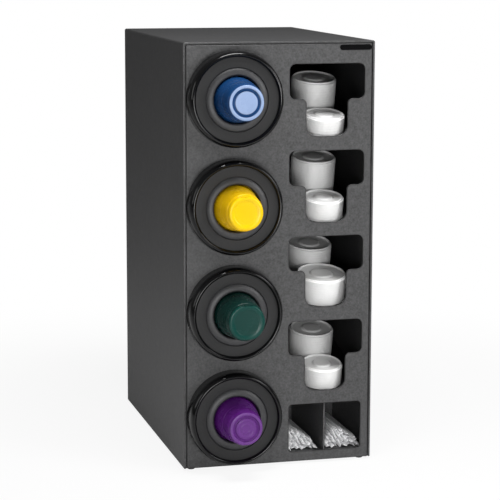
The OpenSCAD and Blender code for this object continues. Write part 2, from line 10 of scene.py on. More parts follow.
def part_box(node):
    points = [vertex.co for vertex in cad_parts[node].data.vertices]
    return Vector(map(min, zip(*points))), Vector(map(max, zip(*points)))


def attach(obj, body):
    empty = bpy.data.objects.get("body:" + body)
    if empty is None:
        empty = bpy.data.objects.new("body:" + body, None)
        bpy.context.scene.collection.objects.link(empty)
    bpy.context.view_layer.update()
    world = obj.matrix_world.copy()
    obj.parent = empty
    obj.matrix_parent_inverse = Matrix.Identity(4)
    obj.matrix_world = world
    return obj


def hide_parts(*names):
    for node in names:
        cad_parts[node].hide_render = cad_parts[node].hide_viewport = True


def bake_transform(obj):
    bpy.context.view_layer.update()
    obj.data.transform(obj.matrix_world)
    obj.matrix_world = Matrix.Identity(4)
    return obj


# Countertop cup, lid and straw dispenser: a charcoal cabinet with four round cup ports,
# four shelves of lids and a bin of wrapped straws. Everything is in metres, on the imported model's frame.

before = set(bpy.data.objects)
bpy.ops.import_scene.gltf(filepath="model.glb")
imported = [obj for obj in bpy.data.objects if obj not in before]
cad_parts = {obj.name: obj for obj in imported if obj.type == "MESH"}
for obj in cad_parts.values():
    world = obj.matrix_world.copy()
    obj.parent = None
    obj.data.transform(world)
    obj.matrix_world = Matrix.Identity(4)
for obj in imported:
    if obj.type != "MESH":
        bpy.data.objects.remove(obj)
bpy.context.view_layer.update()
print("frame loaded:", len(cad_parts), "parts")

shellLow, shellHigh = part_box("shell")
panelLow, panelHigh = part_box("front_panel")
frontY = panelLow.y          # the front panel's outer face
ports = [1, 2, 3, 4]         # numbered from the top
mm = 0.001


# A shader value: Python's operators on it add Math nodes to its tree
class Value:
    def __init__(self, owner, socket):
        self.owner = owner
        self.socket = socket

    def combine(self, operation, first, second):
        return self.owner.node("ShaderNodeMath", {"operation": operation}, {0: first, 1: second})

    def __add__(self, other):
        return self.combine("ADD", self, other)

    def __sub__(self, other):
        return self.combine("SUBTRACT", self, other)

    def __rsub__(self, other):
        return self.combine("SUBTRACT", other, self)

    def __mul__(self, other):
        return self.combine("MULTIPLY", self, other)

    def clamped(self):
        return self.owner.node("ShaderNodeClamp", {}, {0: self})

    __radd__ = __add__
    __rmul__ = __mul__


# An emptied node tree with its output, and the one method that adds every other node
class Shading:
    def __init__(self, tree, outputKind):
        self.tree = tree
        tree.nodes.clear()
        self.output = tree.nodes.new(outputKind)

    def node(self, kind, settings, sockets, result=0):
        made = self.tree.nodes.new(kind)
        for name, value in settings.items():
            setattr(made, name, value)
        for name, value in sockets.items():
            self.feed(made.inputs[name], value)
        return Value(self, made.outputs[result])

    def feed(self, socket, value):
        if isinstance(value, Value):
            self.tree.links.new(value.socket, socket)
        else:
            socket.default_value = value

    def show(self, shader):
        self.feed(self.output.inputs[0], shader)


# One material round a Principled shader
class Finish(Shading):
    def __init__(self, name):
        self.material = bpy.data.materials.new(name)
        self.material.use_nodes = True
        super().__init__(self.material.node_tree, "ShaderNodeOutputMaterial")
        self.shader = self.node("ShaderNodeBsdfPrincipled", {}, {})
        self.show(self.shader)

    def set(self, **sockets):
        for name, value in sockets.items():
            self.feed(self.shader.socket.node.inputs[name.replace("_", " ")], value)

    def place(self):
        return self.node("ShaderNodeTexCoord", {}, {}, "Object")

    def noise(self, scale, detail):
        sockets = {"Vector": self.place(), "Scale": scale, "Detail": detail}
        return self.node("ShaderNodeTexNoise", {}, sockets, "Fac")

    # Noise that is drawn out: its scale is given for each axis
    def streaks(self, scales, detail):
        drawn = self.node("ShaderNodeMapping", {}, {"Vector": self.place(), "Scale": scales})
        sockets = {"Vector": drawn, "Scale": 1.0, "Detail": detail}
        return self.node("ShaderNodeTexNoise", {}, sockets, "Fac")

    def attribute(self, name):
        return self.node("ShaderNodeAttribute", {"attribute_name": name}, {}, "Fac")

    # Blends two colours: all of the first at 0, all of the second at 1
    def mix(self, factor, first, second):
        return self.node("ShaderNodeMix", {"data_type": "RGBA"}, {0: factor, 6: first, 7: second}, 2)

    def bump(self, height, distance, strength):
        sockets = {"Height": height, "Distance": distance, "Strength": strength}
        self.set(Normal=self.node("ShaderNodeBump", {}, sockets))


# A colour from its red, green and blue
def tone(red, green, blue):
    return (red, green, blue, 1.0)


# A colour with its red, green and blue times a factor
def scaled(colour, factor):
    return tone(*(part * factor for part in colour[:3]))


# In each look, a noise is its scale and detail, uneven is how far the roughness moves, and depth and relief
# are the distance and strength of the bump. In the sheet's, the last number of a noise is its strength in the
# colour, and the scale of the reflection lines is given with each sheet; these lines are a painted
# reflection.
sheetLook = dict(colour=tone(0.040, 0.040, 0.041), core=tone(0.010, 0.010, 0.011), darkest=0.2, lightest=1.8,
                 specks=(900, 2, 1.0), cells=(260, 3, 2.3), blotches=(110, 2, 1.1), drift=(9, 3, 0.16),
                 reflectionLines=(3, 0.34), roughness=0.46, uneven=0.12, depth=0.00025, relief=0.5)


# Textured charcoal sheet: mottled haircell grain, with faint streaks along one axis where asked, painted
# reflection in the colour and relief in the bump. Its colour is scaled by a brightness level: below 1 it is
# painted shade, above 1 painted light. Where the attribute "edge" is 1 the grain is cut away and the black
# core shows.
def cabinetPlastic(name, streaks=None, paintedLightLevel=1.0, cutEdges=False):
    f = Finish(name)
    look = sheetLook
    layers = {part: f.noise(*look[part][:2]) for part in ("specks", "cells", "blotches", "drift")}
    height = layers["specks"] * 0.4 + layers["cells"]
    if streaks:
        # the streaks lighten and darken the colour as a painted reflection of lines, and add relief to the
        # bump
        layers["reflectionLines"] = f.streaks(streaks, look["reflectionLines"][0])
        height = height + layers["reflectionLines"] * 0.6
    shade = 1
    for part, layer in layers.items():
        shade = shade + look[part][-1] * (layer - 0.5)
    # the brightness level scales the colour: below 1 it is painted shade, above 1 painted light
    colour = f.mix((shade * 0.5).clamped(), scaled(look["colour"], look["darkest"] * paintedLightLevel),
                   scaled(look["colour"], look["lightest"] * paintedLightLevel))
    if cutEdges:
        colour = f.mix(f.attribute("edge"), colour, look["core"])
    f.set(Base_Color=colour, Roughness=look["roughness"] + look["uneven"] * (layers["cells"] - 0.5))
    f.bump(height, look["depth"], look["relief"])
    return f.material


glossLook = dict(dark=tone(0.002, 0.002, 0.0022), light=tone(0.004, 0.004, 0.0044), roughness=0.09,
                 uneven=0.06, specular=0.28, patches=(24, 3), ripple=(60, 2), depth=0.00004, relief=0.25)


# Polished black moulding: a clear gloss with faint uneven patches
def glossBlack(name):
    f = Finish(name)
    look = glossLook
    patches = f.noise(*look["patches"])
    f.set(Base_Color=f.mix(patches, look["dark"], look["light"]),
          Roughness=look["roughness"] + look["uneven"] * patches, Specular_IOR_Level=look["specular"])
    f.bump(f.noise(*look["ripple"]), look["depth"], look["relief"])
    return f.material


satinLook = dict(colour=tone(0.0095, 0.0095, 0.010), darkest=0.35, lightest=1.65, roughness=0.48, cloudy=0.10,
                 pitted=0.08, specular=0.3, grain=(1100, 2), cells=(260, 3), cloud=(18, 3), depth=0.0001,
                 relief=0.35)


# Satin black moulding: fine spark-eroded grain
def satinBlack(name):
    f = Finish(name)
    look = satinLook
    grain, cells, cloud = (f.noise(*look[part]) for part in ("grain", "cells", "cloud"))
    blend = (0.2 * cloud + 0.4 * grain + 0.4 * cells).clamped()
    dark, light = scaled(look["colour"], look["darkest"]), scaled(look["colour"], look["lightest"])
    f.set(Base_Color=f.mix(blend, dark, light),
          Roughness=look["roughness"] + look["cloudy"] * (cloud - 0.5) + look["pitted"] * (cells - 0.5),
          Specular_IOR_Level=look["specular"])
    f.bump(grain, look["depth"], look["relief"])
    return f.material


rubberLook = dict(darkest=0.85, dusty=3.0, dustShare=0.35, dust=(260, 4), cloud=(30, 3), uneven=0.12,
                  specular=0.42, pores=(900, 2), depth=0.00008, relief=0.3)


# Black rubber: a soft sheen, with a little pale dust in its pores, where the noise is at its highest
def rubberBlack(name, colour, roughness):
    f = Finish(name)
    look = rubberLook
    dust = (f.noise(*look["dust"]) * 1.6 - 0.72).clamped()
    cloud = f.noise(*look["cloud"])
    blend = dust * look["dustShare"]
    f.set(Base_Color=f.mix(blend, scaled(colour, look["darkest"]), scaled(colour, look["dusty"])),
          Roughness=roughness + look["uneven"] * (cloud - 0.5), Specular_IOR_Level=look["specular"])
    f.bump(f.noise(*look["pores"]), look["depth"], look["relief"])
    return f.material


cupLook = dict(side=(0.80, 1.20), end=(0.88, 1.10), roughness=0.27, uneven=0.10, specular=0.2, cloud=(40, 3),
               specks=(520, 3), grain=(700, 2), depth=0.00004, relief=0.3)


# Coloured cup sheet: its attribute "pale" marks where the end is lighter
def cupPlastic(name, colour, paleColour):
    f = Finish(name)
    look = cupLook
    cloud, specks = f.noise(*look["cloud"]), f.noise(*look["specks"])
    sides = [scaled(colour, part) for part in look["side"]]
    ends = [scaled(paleColour, part) for part in look["end"]]
    side = f.mix((0.30 + 0.4 * cloud + 0.2 * specks).clamped(), *sides)
    end = f.mix((specks * 0.7 + cloud * 0.3).clamped(), *ends)
    f.set(Base_Color=f.mix(f.attribute("pale"), side, end),
          Roughness=look["roughness"] + look["uneven"] * (cloud - 0.5), Specular_IOR_Level=look["specular"])
    f.bump(f.noise(*look["grain"]), look["depth"], look["relief"])
    return f.material


lidLook = dict(dark=tone(0.70, 0.70, 0.695), light=tone(0.79, 0.79, 0.785), roughness=0.38, uneven=0.12,
               specular=0.35, cloud=(55, 3), marks=((420, 420, 30), 2), ripple=(240, 2), depth=0.00005,
               relief=0.3)


# Thin white lid sheet with a soft gloss and faint drawing marks
def lidPlastic(name):
    f = Finish(name)
    look = lidLook
    cloud, marks = f.noise(*look["cloud"]), f.streaks(*look["marks"])
    f.set(Base_Color=f.mix((cloud * 0.6 + marks * 0.4).clamped(), look["dark"], look["light"]),
          Roughness=look["roughness"] + look["uneven"] * (cloud - 0.5), Specular_IOR_Level=look["specular"])
    f.bump(f.noise(*look["ripple"]), look["depth"], look["relief"])
    return f.material


paperLook = dict(dark=tone(0.86, 0.86, 0.88), light=tone(0.97, 0.97, 0.975), roughness=0.55, uneven=0.2,
                 fibres=((900, 90, 900), 3), creases=((160, 45, 160), 4), depth=0.0006, relief=0.5)


# White paper sleeve: soft fibres along the straw and faint creases
def sleevePaper(name):
    f = Finish(name)
    look = paperLook
    fibres, creases = f.streaks(*look["fibres"]), f.streaks(*look["creases"])
    blend = (0.25 + 0.5 * fibres + 0.3 * creases).clamped()
    f.set(Base_Color=f.mix(blend, look["dark"], look["light"]),
          Roughness=look["roughness"] + look["uneven"] * (fibres - 0.5))
    f.bump(creases + 0.3 * fibres, look["depth"], look["relief"])
    return f.material


steelLook = dict(dark=tone(0.42, 0.43, 0.45), light=tone(0.62, 0.63, 0.64), roughness=0.26, uneven=0.16,
                 wear=(300, 3), scratches=(1400, 2), depth=0.00003, relief=0.3)


# Bright steel wire and screws: a slightly blued tone that is rougher where it is lighter
def plainSteel(name):
    f = Finish(name)
    look = steelLook
    wear = f.noise(*look["wear"])
    f.set(Base_Color=f.mix(wear, look["dark"], look["light"]), Metallic=1.0,
          Roughness=look["roughness"] + look["uneven"] * wear)
    f.bump(f.noise(*look["scratches"]), look["depth"], look["relief"])
    return f.material


panelFinish = cabinetPlastic("panelPlastic", cutEdges=True)
# The shell's vertical streaks in the colour are a painted reflection
shellFinish = cabinetPlastic("shellPlasticPaintedReflection", streaks=(330, 330, 5))
backFinish = cabinetPlastic("backPlastic")
# Inside parts: the sheet darkened as painted shade. Straw bin: the sheet lightened as painted light.
insidePaintedShadeFinish = cabinetPlastic("insidePlasticPaintedShade", paintedLightLevel=0.22)
binPaintedLightFinish = cabinetPlastic("binPlasticPaintedLight", paintedLightLevel=1.5)
glossFinish = glossBlack("glossBlack")
satinFinish = satinBlack("satinBlack")
rubberFinish = rubberBlack("diaphragmRubber", tone(0.034, 0.034, 0.036), 0.45)
footFinish = rubberBlack("footRubber", tone(0.03, 0.03, 0.03), 0.6)
lidFinish = lidPlastic("lidPlastic")
paperFinish = sleevePaper("sleevePaper")
steelFinish = plainSteel("plainSteel")
cupSlots = ["cup_blue", "cup_yellow", "cup_green", "cup_purple"]
cupFinishes = [
    cupPlastic("cupBlue", tone(0.006, 0.040, 0.130), tone(0.25, 0.335, 0.52)),
    cupPlastic("cupYellow", tone(0.70, 0.42, 0.002), tone(0.74, 0.49, 0.001)),
    cupPlastic("cupGreen", tone(0.004, 0.024, 0.020), tone(0.001, 0.040, 0.032)),
    cupPlastic("cupPurple", tone(0.074, 0.008, 0.135), tone(0.120, 0.038, 0.195)),
]
print("materials made")

meshCare = dict(weld=1e-7, sliver=1e-8, nodeWeld=2e-6, flatAngle=0.4, bevelAngle=35, bevelSegments=2,
                faceWeight=100)


# Turns arrays of vertices and faces into a piece that stands for a node, with doubles merged and faces
# outwards. It rides on a body, or on none.
def makePiece(name, points, faces, finish, body, node, extra=None, sharp=38):
    mesh = bpy.data.meshes.new(name)
    mesh.from_pydata(points.tolist(), [], faces if isinstance(faces, list) else faces.tolist())
    for label, values in (extra or {}).items():
        mesh.attributes.new(label, "FLOAT", "POINT").data.foreach_set("value", values.astype(np.float32))
    work = bmesh.new()
    work.from_mesh(mesh)
    bmesh.ops.remove_doubles(work, verts=work.verts, dist=meshCare["weld"])
    bmesh.ops.dissolve_degenerate(work, edges=work.edges, dist=meshCare["sliver"])
    bmesh.ops.recalc_face_normals(work, faces=work.faces)
    work.to_mesh(mesh)
    work.free()
    mesh.shade_smooth()
    mesh.set_sharp_from_angle(angle=math.radians(sharp))
    mesh.materials.append(finish)
    piece = bpy.data.objects.new(name, mesh)
    bpy.context.scene.collection.objects.link(piece)
    if body:
        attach(piece, body)
    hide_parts(node)
    return piece


# Quads of a grid of rows by columns, its columns joined up all round, its rows too where closed
def gridQuads(rows, columns, closed=False):
    r = np.arange(rows if closed else rows - 1)[:, None]
    c = np.arange(columns)[None, :]
    nextRow = (r + 1) % rows
    nextColumn = (c + 1) % columns
    corners = [r * columns + c, r * columns + nextColumn,
               nextRow * columns + nextColumn, nextRow * columns + c]
    return np.stack(corners, -1).reshape(-1, 4)


# A profile of (radius, height) pairs turned about an axis: the radius times the cosine and sine of the angle,
# and the height
def turned(profile, steps, start=0.0):
    angle = start + np.linspace(0, 2 * np.pi, steps, endpoint=False)
    radius = profile[:, 0][:, None]
    height = np.repeat(profile[:, 1][:, None], steps, 1)
    return np.stack([radius * np.cos(angle), radius * np.sin(angle), height], -1).reshape(-1, 3)


# Points of a circle's or ellipse's arc about a centre, from one angle to another in degrees
def arc(centre, radius, fromDegrees, toDegrees, count):
    angle = np.radians(np.linspace(fromDegrees, toDegrees, count))
    wide, high = (radius, radius) if np.isscalar(radius) else radius
    return np.stack([centre[0] + wide * np.cos(angle), centre[1] + high * np.sin(angle)], -1)


cornerShare = 0.45           # the most of a side that one rounded corner may take


# A profile with each corner rounded: its two sides are cut short by the same length and a parabola joins
# them. An open profile keeps its first and last points.
def roundCorners(corners, radius, count, closed=False):
    corners = np.asarray(corners, float)
    toBefore = np.roll(corners, 1, 0) - corners
    toAfter = np.roll(corners, -1, 0) - corners
    lengthBefore = np.linalg.norm(toBefore, axis=1)[:, None]
    lengthAfter = np.linalg.norm(toAfter, axis=1)[:, None]
    reach = np.minimum(radius, cornerShare * np.minimum(lengthBefore, lengthAfter))
    start = (corners + toBefore / lengthBefore * reach)[:, None]
    end = (corners + toAfter / lengthAfter * reach)[:, None]
    t = np.linspace(0, 1, count)[:, None]
    rounded = (1 - t) ** 2 * start + 2 * t * (1 - t) * corners[:, None] + t ** 2 * end
    if closed:
        return np.concatenate(rounded)
    return np.concatenate([corners[:1], *rounded[1:-1], corners[-1:]])


# The middle of a cup port, from its collar's box
def portCentre(k):
    low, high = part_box(f"collar_{k}")
    return (low.x + high.x) / 2, (low.z + high.z) / 2


# Puts points made about a port's axis on the front panel: local z points out of the cabinet
def onPort(points, k):
    centreX, centreZ = portCentre(k)
    return np.stack([centreX + points[:, 0], frontY - points[:, 2], centreZ + points[:, 1]], -1)


# Copies a part of the frame, welds it, joins its flat faces and rounds its edges
def softened(node, finish, width):
    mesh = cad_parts[node].data.copy()
    mesh.name = node + "Skin"
    work = bmesh.new()
    work.from_mesh(mesh)
    bmesh.ops.remove_doubles(work, verts=work.verts, dist=meshCare["nodeWeld"])
    bmesh.ops.dissolve_limit(work, angle_limit=math.radians(meshCare["flatAngle"]), verts=work.verts,
                             edges=work.edges)
    work.to_mesh(mesh)
    work.free()
    mesh.materials.clear()
    mesh.materials.append(finish)
    mesh.shade_smooth()
    piece = bpy.data.objects.new(node + "Skin", mesh)
    bpy.context.scene.collection.objects.link(piece)
    bevel = piece.modifiers.new("edges", "BEVEL")
    bevel.width = width
    bevel.segments = meshCare["bevelSegments"]
    bevel.limit_method = "ANGLE"
    bevel.angle_limit = math.radians(meshCare["bevelAngle"])
    bevel.use_clamp_overlap = True
    piece.modifiers.new("flatFaces", "WEIGHTED_NORMAL").weight = meshCare["faceWeight"]
    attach(piece, "cabinet")
    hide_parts(node)


# The front panel in millimetres: darkRim is how far the cut shows at each step of a hole's edge
panel = dict(rim=1.5, shadow=0.7, backEdge=0.4, rollSteps=6, outerDark=0.4, cornerRadius=1.6, portRadius=66.0,
             portSteps=144, lidTop=45.0, lidPitch=172.0, wide=154.0, wideHigh=69.0, high=143.0, finger=85.0,
             wideRadius=12.0, fingerRadius=22.0, throatRadius=10.0, leastRadius=0.05,
             strawWide=151.0, strawHigh=98.0, strawSill=20.0, strawRadius=7.0, cornerSteps=10,
             darkRim=[0.0] + [0.75] + [1.0] * 6 + [0.5])


# A loop round corners that all turn by a right angle. Each corner is a quarter circle; to grow the loop its
# corners move outwards and its radii grow, or shrink where the corner turns the other way.
def cornerLoop(corners, radii, grow):
    before = np.roll(corners, 1, 0) - corners
    after = np.roll(corners, -1, 0) - corners
    before /= np.linalg.norm(before, axis=1)[:, None]
    after /= np.linalg.norm(after, axis=1)[:, None]
    convex = before[:, 1] * after[:, 0] - before[:, 0] * after[:, 1] > 0
    radius = np.maximum(np.where(convex, radii + grow, radii - grow), panel["leastRadius"])
    shift = np.where(convex, -grow, grow)[:, None]
    centre = corners + (shift + radius[:, None]) * (before + after)
    angle = np.linspace(0, np.pi / 2, panel["cornerSteps"])[None, :, None]
    spokes = after[:, None] * np.cos(angle) + before[:, None] * np.sin(angle)
    return (centre[:, None] - radius[:, None, None] * spokes).reshape(-1, 2)


# A circle about a centre: its radius, grown, times the cosine and sine of the angle
def circleLoop(centre, radius, grow):
    angle = np.linspace(0, 2 * np.pi, panel["portSteps"], endpoint=False)
    spokes = np.stack([np.cos(angle), np.sin(angle)], -1)
    return np.array(centre) + (radius + grow) * spokes


# Corners of a lid opening, anticlockwise from the foot of its finger slot: a wide upper part on a narrow slot
def openingCorners(middle, foot):
    p = panel
    half, wide, neck = p["finger"] / 2, p["wide"] / 2, p["high"] - p["wideHigh"]
    corners = [(-half, 0), (half, 0), (half, neck), (wide, neck), (wide, p["high"]), (-wide, p["high"]),
               (-wide, neck), (-half, neck)]
    radii = [p["fingerRadius"]] * 2 + [p["throatRadius"]] + [p["wideRadius"]] * 4 + [p["throatRadius"]]
    return np.array(corners) + (middle, foot), np.array(radii)


# Corners of a rectangle, all with one radius
def boxCorners(x0, x1, z0, z1, radius):
    return np.array([(x0, z0), (x1, z0), (x1, z1), (x0, z1)]), np.full(4, radius)


# The front panel in one sheet. Each hole's edge is a ribbon: its loop grown by the rim's width on the face,
# rolled over a quarter circle and carried through to the back. The faces between the loops are filled.
def makeFrontPanel():
    p = panel
    low, high = np.array(panelLow) / mm, np.array(panelHigh) / mm
    laneLow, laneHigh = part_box("lid_shelf_1")
    middle = (laneLow.x + laneHigh.x) / 2 / mm
    cabinetBottom, cabinetTop = shellLow.z / mm, shellHigh.z / mm
    thick = high[1] - low[1]
    outer = boxCorners(low[0], high[0], low[2], high[2], p["cornerRadius"])
    sill = cabinetBottom + p["strawSill"]
    holes = [boxCorners(middle - p["strawWide"] / 2, middle + p["strawWide"] / 2, sill, sill + p["strawHigh"],
                        p["strawRadius"])]
    feet = [cabinetTop - p["lidTop"] - p["high"] - i * p["lidPitch"] for i in range(4)]
    holes += [openingCorners(middle, foot) for foot in feet]
    loops = [lambda grow: cornerLoop(*outer, -grow)]
    loops += [lambda grow, hole=hole: cornerLoop(*hole, grow) for hole in holes]
    centres = [np.array(portCentre(k)) / mm for k in ports]
    loops += [lambda grow, centre=centre: circleLoop(centre, p["portRadius"], grow) for centre in centres]
    profile = np.concatenate([[[p["rim"] + p["shadow"], 0]],
                              arc((p["rim"], p["rim"]), p["rim"], 270, 180, p["rollSteps"]),
                              [[0, thick - p["backEdge"]], [p["backEdge"], thick]]])
    dark = np.array(p["darkRim"])
    points, faces, darkness, front, back, offset = [], [], [], [], [], 0
    for i, loop in enumerate(loops):
        outlines = [loop(grow) for grow, _ in profile]
        rings = np.stack([np.column_stack([outline, np.full(len(outline), depth)])
                          for outline, (_, depth) in zip(outlines, profile)])
        rows, columns = rings.shape[:2]
        points.append(rings.reshape(-1, 3))
        darkness.append(np.repeat(dark if i else dark * p["outerDark"], columns))
        faces += (gridQuads(rows, columns) + offset).tolist()
        front.append((rings[0], offset))
        back.append((rings[-1], offset + (rows - 1) * columns))
        offset += rows * columns
    for rings in (front, back):
        index = np.concatenate([start + np.arange(len(ring)) for ring, start in rings])
        triangles = np.array(tessellate_polygon([ring[:, :2].tolist() for ring, _ in rings]))
        faces += index[triangles].tolist()
    points = np.concatenate(points)
    place = np.stack([points[:, 0], low[1] + points[:, 2], points[:, 1]], -1) * mm
    piece = makePiece("frontPanelSheet", place, faces, panelFinish, "cabinet",
                      "front_panel", extra={"edge": np.concatenate(darkness)})
    piece.modifiers.new("flatFaces", "WEIGHTED_NORMAL").keep_sharp = True


# Widths of the rounded edges
softEdges = dict(shell=0.9 * mm, sheet=0.4 * mm, small=0.3 * mm, screw=0.1 * mm)

makeFrontPanel()
softened("shell", shellFinish, softEdges["shell"])
for node in ("back_panel", "base_panel"):
    softened(node, backFinish, softEdges["sheet"])
for node in ("divider", "tube_bracket", "front_cleats", "back_cleats", "shelf_rails"):
    softened(node, insidePaintedShadeFinish, softEdges["sheet"])
for k in ports:
    softened(f"lid_shelf_{k}", insidePaintedShadeFinish, softEdges["sheet"])
softened("straw_bin", binPaintedLightFinish, softEdges["small"])
softened("nameplate", glossFinish, softEdges["small"])
softened("feet", footFinish, softEdges["small"])
softened("back_screws", steelFinish, softEdges["screw"])
print("cabinet dressed")

# Heights in millimetres off the front panel, radii from the port's axis
collar = dict(outer=94.5, side=24.0, crest=87.5, stand=41.0, lip=83.0, face=35.0, wall=2.4, foot=0.3,
              steps=192)
faceRing = dict(inner=62.5, outer=85.0, front=35.0, back=32.5, edge=1.0, edgeSteps=6, steps=192)
diaphragm = dict(padOuter=83.5, padFront=5.2, padBack=3.0, fillet=1.5, lip=47.0, lipBack=13.5, lipTaper=3.0,
                 lipEase=0.2, outer=64.8, shoulder=26.6, crest=50.5, crestHigh=37.0, wall=2.2, steps=192)


# The glossy collar: a straight side, a quarter ellipse up to its crest and another down to its lip,
# then back inside a wall's thickness away
def makeCollar(k):
    c = collar
    outerWide, outerHigh = c["outer"] - c["crest"], c["stand"] - c["side"]
    innerWide, innerHigh = c["crest"] - c["lip"], c["stand"] - c["face"]
    wall = c["wall"]
    profile = np.concatenate([
        [[c["outer"], c["foot"]], [c["outer"], c["side"] / 2]],
        arc((c["crest"], c["side"]), (outerWide, outerHigh), 0, 90, 26),
        arc((c["crest"], c["face"]), (innerWide, innerHigh), 95, 180, 14),
        [[c["lip"] + wall, c["face"]]],
        arc((c["crest"], c["face"]), (innerWide - wall, innerHigh - wall), 180, 95, 8),
        arc((c["crest"], c["side"]), (outerWide - wall, outerHigh - wall), 90, 0, 12),
        [[c["outer"] - wall, c["foot"]]],
    ]) * mm
    points = onPort(turned(profile, c["steps"]), k)
    quads = gridQuads(len(profile), c["steps"], closed=True)
    makePiece(f"collarRing{k}", points, quads, glossFinish, f"collar_body_{k}", f"collar_{k}")


# The flat satin ring inside the collar: a rectangle with rounded corners, turned
def makeFaceRing(k):
    r = faceRing
    corners = [[r["inner"], r["back"]], [r["inner"], r["front"]],
               [r["outer"], r["front"]], [r["outer"], r["back"]]]
    profile = roundCorners(corners, r["edge"], r["edgeSteps"], closed=True) * mm
    points = onPort(turned(profile, r["steps"]), k)
    quads = gridQuads(len(profile), r["steps"], closed=True)
    makePiece(f"faceRing{k}", points, quads, satinFinish, f"collar_body_{k}", f"face_ring_{k}")


# The rubber diaphragm: a clamped flange, a straight wall, a dome that rises towards the cup and a lip folded
# back along it
def makeDiaphragm(k):
    d = diaphragm
    crest, shoulder, wall, lip, back = d["crest"], d["shoulder"], d["wall"], d["lip"], d["lipBack"]
    wide, high, fold = d["outer"] - crest, d["crestHigh"] - shoulder, crest - lip
    foldCentre = (crest, d["crestHigh"] - fold)
    tip = back + d["lipTaper"]
    profile = np.concatenate([
        [[d["padOuter"], d["padBack"]], [d["padOuter"], d["padFront"]]],
        arc((d["outer"] + d["fillet"], d["padFront"] + d["fillet"]), d["fillet"], 270, 180, 4),
        arc((crest, shoulder), (wide, high), 0, 90, 28),
        arc(foldCentre, fold, 100, 180, 8),
        [[lip, tip], [lip + d["lipEase"], back], [lip + wall, back], [lip + wall, tip]],
        arc(foldCentre, fold - wall, 180, 100, 4),
        arc((crest, shoulder), (wide - wall, high - wall), 90, 0, 20),
        [[d["outer"] - wall, d["padBack"]]],
    ]) * mm
    points = onPort(turned(profile, d["steps"]), k)
    quads = gridQuads(len(profile), d["steps"], closed=True)
    makePiece(f"diaphragmSkin{k}", points, quads, rubberFinish, "cabinet",
              f"diaphragm_{k}")


for k in ports:
    makeCollar(k)
    makeFaceRing(k)
    makeDiaphragm(k)
print("cup ports made")

# Millimetres. Round feet on the blue and purple cups, feet with two flats on the yellow and green ones.
# In ends, each cup's end from its middle outwards: share of the base's radius, depth behind the foot and
# paleness. In the steps down the side: depth behind the foot, and how far it stands off the straight cone.
cup = dict(
    proud=[107, 106, 115, 110], base=[34.5, 34.1, 36.1, 33.0], mouth=46.3, shoulder=0.8, rim=48.6, wall=0.8,
    rimFront=13.2, rimBack=10.2, neck=1.5, neckOut=0.3, endInside=4.3, edge=0.9, nested=10, pitch=14.0,
    steps=160, nestedSteps=72, flatted=(2, 3), flat=0.905, flatLength=11.0, flatRun=1.2,
    ends=[
        [(0, 1.1, 1), (0.63, 1.1, 1), (0.65, 3.4, 0), (0.80, 3.4, 0), (0.825, 0.2, 1), (0.90, 0, 1),
         (0.975, 0.5, 1), (1, 2.4, 0)],
        [(0, 1.3, 1), (0.68, 1.3, 1), (0.72, 0.7, 1), (0.80, 0.2, 1), (0.88, 0, 1), (0.94, 0.4, 1),
         (0.985, 1.6, 0.9), (1, 3.4, 0.2)],
        [(0, 1.3, 0.55), (0.68, 1.3, 0.55), (0.72, 0.7, 0.8), (0.80, 0.2, 1), (0.88, 0, 1), (0.94, 0.4, 1),
         (0.985, 1.6, 1), (1, 3.4, 0.3)],
        [(0, 1.1, 0.62), (0.22, 1.1, 0.62), (0.24, 0.8, 0.62), (0.30, 0.8, 0.62), (0.32, 1.1, 0.62),
         (0.46, 1.1, 0.62), (0.48, 0.8, 0.62), (0.54, 0.8, 0.62), (0.56, 1.1, 0.62), (0.63, 1.1, 0.62),
         (0.65, 3.4, 0.1), (0.80, 3.4, 0.1), (0.825, 0.2, 1), (0.90, 0, 1), (0.975, 0.5, 1), (1, 2.4, 0)]],
    roundSteps=[(7.5, 0), (8.6, 0.7), (37, 0.7), (38, 0.1), (40, 0.1), (41.2, 0.8)],
    flattedSteps=[(8.6, 0), (9.8, -0.5), (11, -0.5), (11.6, 0), (12.4, 0.4), (13.4, 0.8)],
    paleReach=3)                 # paleness is rounded as a third coordinate, this much longer


# Outer profile of a cup from the middle of its end to its rim, with how pale each point is. Its side is a
# cone: the base's radius and the slope times the depth.
def cupOutside(k, corners):
    out, base = cup["proud"][k - 1], cup["base"][k - 1]
    slope = (cup["mouth"] - cup["shoulder"] - base) / (out - cup["rimFront"])
    share, sunk, pale = np.array(cup["ends"][k - 1], float).T
    depth, stand = np.array(cup["flattedSteps" if k in cup["flatted"] else "roundSteps"], float).T
    neck = ([cup["mouth"], cup["mouth"] + cup["neckOut"]], [cup["rimFront"] + cup["neck"], cup["rimFront"]])
    radius = np.concatenate([share * base, base + slope * depth + stand, neck[0]])
    height = np.concatenate([out - sunk, out - depth, neck[1]])
    paleness = np.concatenate([pale, np.zeros(len(radius) - len(pale))])
    outline = np.column_stack([radius, height, paleness * cup["paleReach"]])
    smooth = roundCorners(outline, cup["edge"], corners)
    return smooth[:, :2], smooth[:, 2] / cup["paleReach"]


# One cup: its outside, a rolled rim and the inside a wall's thickness away
def cupProfile(k, corners):
    outside, pale = cupOutside(k, corners)
    wall = cup["wall"]
    middle = (cup["rimFront"] + cup["rimBack"]) / 2
    bead = (cup["rimFront"] - cup["rimBack"]) / 2
    rolled = arc((cup["rim"] - bead, middle), bead, 90, -90, 3 * corners)
    out, base = cup["proud"][k - 1], cup["base"][k - 1]
    floorOut = out - cup["endInside"]
    inside = [[cup["mouth"] - wall, cup["rimBack"]], [base + 2.0, out - 26], [base - wall, floorOut - 1.5],
              [base - wall - 2, floorOut], [0, floorOut]]
    profile = np.concatenate([outside, rolled, inside])
    return profile * mm, np.concatenate([pale, np.zeros(len(rolled) + len(inside))])


